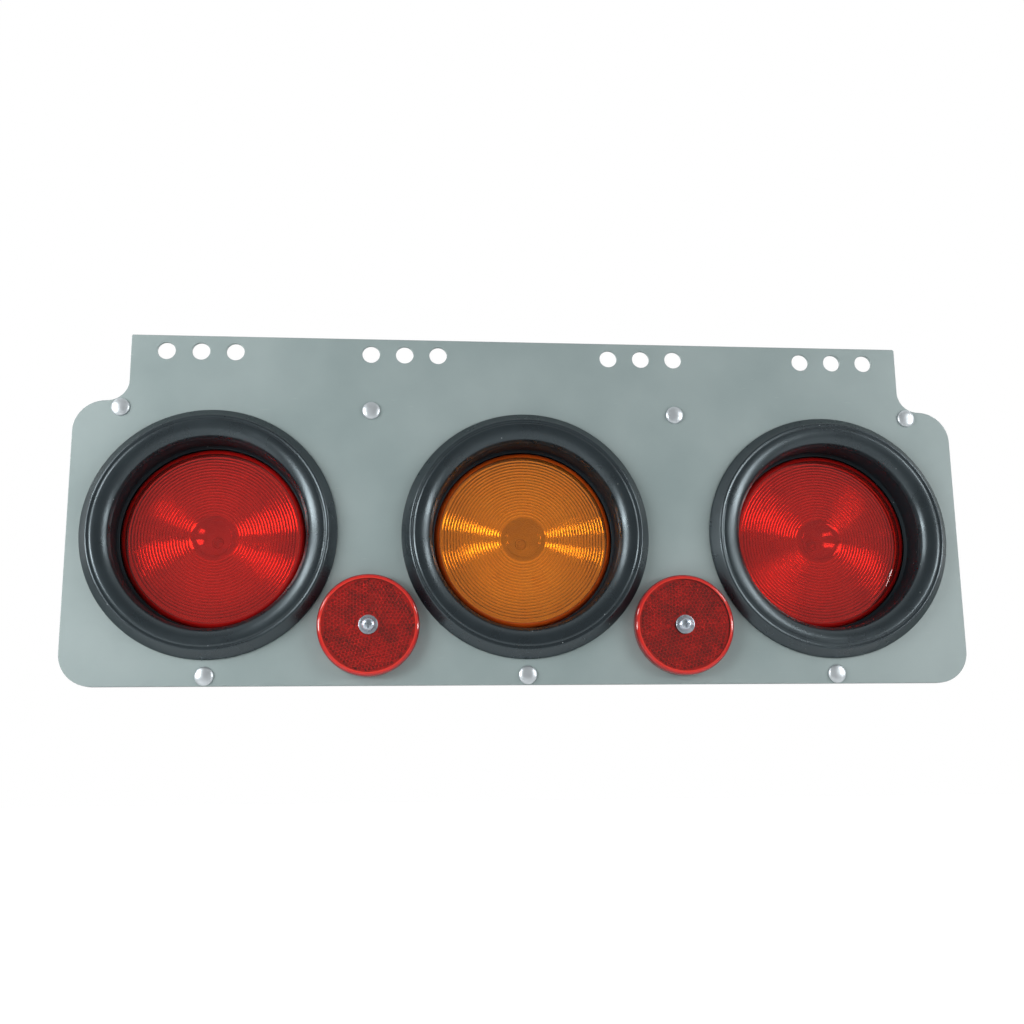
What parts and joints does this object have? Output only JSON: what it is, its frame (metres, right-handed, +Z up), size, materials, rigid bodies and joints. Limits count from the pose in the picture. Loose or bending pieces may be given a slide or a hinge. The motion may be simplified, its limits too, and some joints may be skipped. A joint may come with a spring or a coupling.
{
  "type": "led trailer light module",
  "caption": "Flat grey plate with a row of round lamps in black rubber grommets, small red reflectors between them, a drilled mounting tab above and a riveted box behind.",
  "frame": {"origin": "middle of the row of mounting holes, on the plate's back face, which lies on what carries the light", "axes": "+X to the right seen from the front, -Y out of the front, +Z up"},
  "size_m": [0.481, 0.1006, 0.1885],
  "materials": {
    "plate_paint": "smooth satin grey paint, faintly blue-green",
    "box_paint": "satin grey paint",
    "foam": "closed-cell foam",
    "rubber": "satin moulded rubber",
    "plug_rubber": "moulded",
    "lead_sheath": "smooth sheath",
    "amber_lens": "clear amber, ringed",
    "red_lens": "clear red, ringed",
    "reflector_red": "clear red over prisms",
    "black_plastic": "moulded",
    "white_plastic": "moulded",
    "natural_nylon": "moulded",
    "circuit_board": "solder mask",
    "led_epoxy": "clear dome",
    "brass": "tinned brass",
    "rivet_metal": "bright",
    "zinc_steel": "zinc plated"
  },
  "bodies": {
    "root": {"face_plate": "plate_paint", "gasket": "foam", "rear_box": "box_paint", "rivets": "rivet_metal", "lead_clips": "natural_nylon", "inlet_socket": "black_plastic", "inlet_contacts": "brass", "inlet_seal": "rubber", "inlet_nut": "zinc_steel", "reflector_left": "reflector_red", "reflector_right": "reflector_red", "reflector_backing_left": "black_plastic", "reflector_backing_right": "black_plastic", "reflector_screws": "zinc_steel", "reflector_washers": "zinc_steel", "reflector_nuts": "zinc_steel", "grommet_left": "rubber", "lens_left": "red_lens", "housing_left": "black_plastic", "bowl_left": "white_plastic", "board_left": "circuit_board", "leds_left": "led_epoxy", "terminals_left": "brass", "plug_left": "plug_rubber", "lead_left": "lead_sheath", "grommet_centre": "rubber", "lens_centre": "amber_lens", "housing_centre": "black_plastic", "bowl_centre": "white_plastic", "board_centre": "circuit_board", "leds_centre": "led_epoxy", "terminals_centre": "brass", "plug_centre": "plug_rubber", "lead_centre": "lead_sheath", "grommet_right": "rubber", "lens_right": "red_lens", "housing_right": "black_plastic", "bowl_right": "white_plastic", "board_right": "circuit_board", "leds_right": "led_epoxy", "terminals_right": "brass", "plug_right": "plug_rubber", "lead_right": "lead_sheath"}
  },
  "joints": []
}
